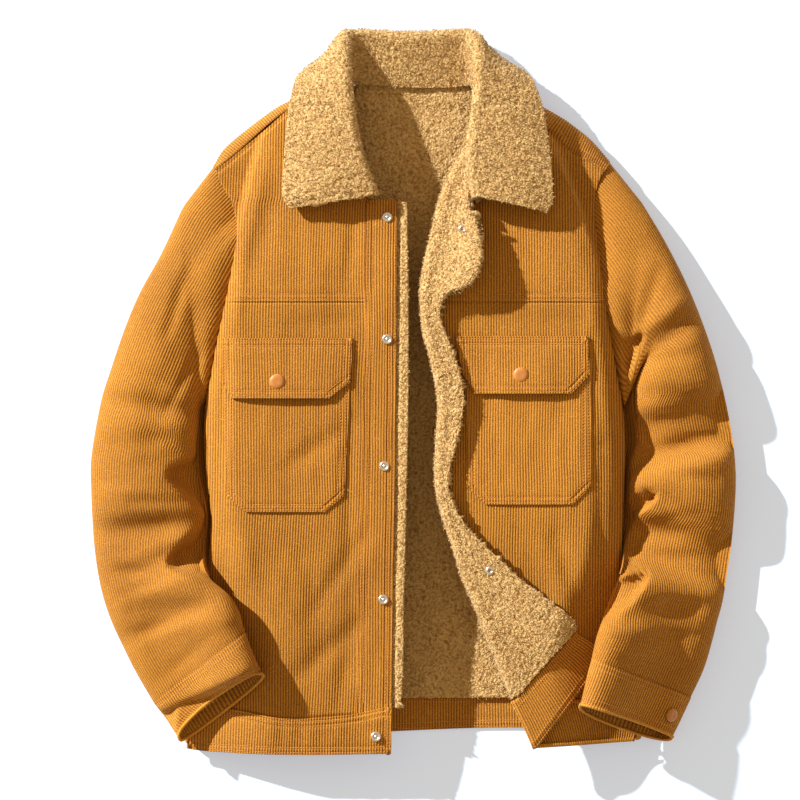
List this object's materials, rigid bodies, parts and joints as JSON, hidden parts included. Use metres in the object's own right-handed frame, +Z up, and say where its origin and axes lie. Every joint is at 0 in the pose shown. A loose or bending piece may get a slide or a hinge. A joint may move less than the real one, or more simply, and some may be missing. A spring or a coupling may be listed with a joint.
{
  "type": "sherpa lined corduroy jacket",
  "caption": "Corduroy trucker jacket lined with sherpa pile, laid flat on its back with one front turned open to show the lining.",
  "frame": {"origin": "centre of the jacket's footprint on the surface it lies on", "axes": "+Y towards the collar, +X towards the wearer's left, +Z up from the surface"},
  "size_m": [0.688, 0.7761, 0.0814],
  "materials": {
    "corduroy": "cotton corduroy, wales down each panel",
    "corduroy_trim": "cotton corduroy of yokes, bands, cuffs, placket and pockets",
    "sherpa": "curled sherpa pile",
    "snap_steel": "bright metal snap parts",
    "snap_cap": "satin painted snap caps in the cloth's tone"
  },
  "bodies": {
    "root": {"right_front_yoke": "corduroy_trim", "right_front_panel": "corduroy", "right_placket": "corduroy_trim", "right_front_hem_band": "corduroy_trim", "right_front_lining": "sherpa", "left_front_lining": "sherpa", "left_placket": "corduroy_trim", "left_front_yoke": "corduroy_trim", "left_front_panel": "corduroy", "left_front_hem_band": "corduroy_trim", "back_panel": "corduroy", "back_hem_band": "corduroy_trim", "back_yoke": "corduroy_trim", "back_lining": "sherpa", "right_sleeve": "corduroy", "left_sleeve": "corduroy", "right_cuff": "corduroy_trim", "left_cuff": "corduroy_trim", "collar": "sherpa", "under_collar": "corduroy", "right_pocket": "corduroy_trim", "left_pocket": "corduroy_trim", "right_pocket_flap": "corduroy_trim", "left_pocket_flap": "corduroy_trim", "snap_stud_1": "snap_steel", "snap_stud_2": "snap_steel", "snap_stud_3": "snap_steel", "snap_stud_4": "snap_steel", "snap_stud_5": "snap_steel", "snap_socket_1": "snap_steel", "snap_socket_2": "snap_steel", "right_flap_cap": "snap_cap", "left_flap_cap": "snap_cap", "left_cuff_cap": "snap_cap"}
  },
  "joints": []
}
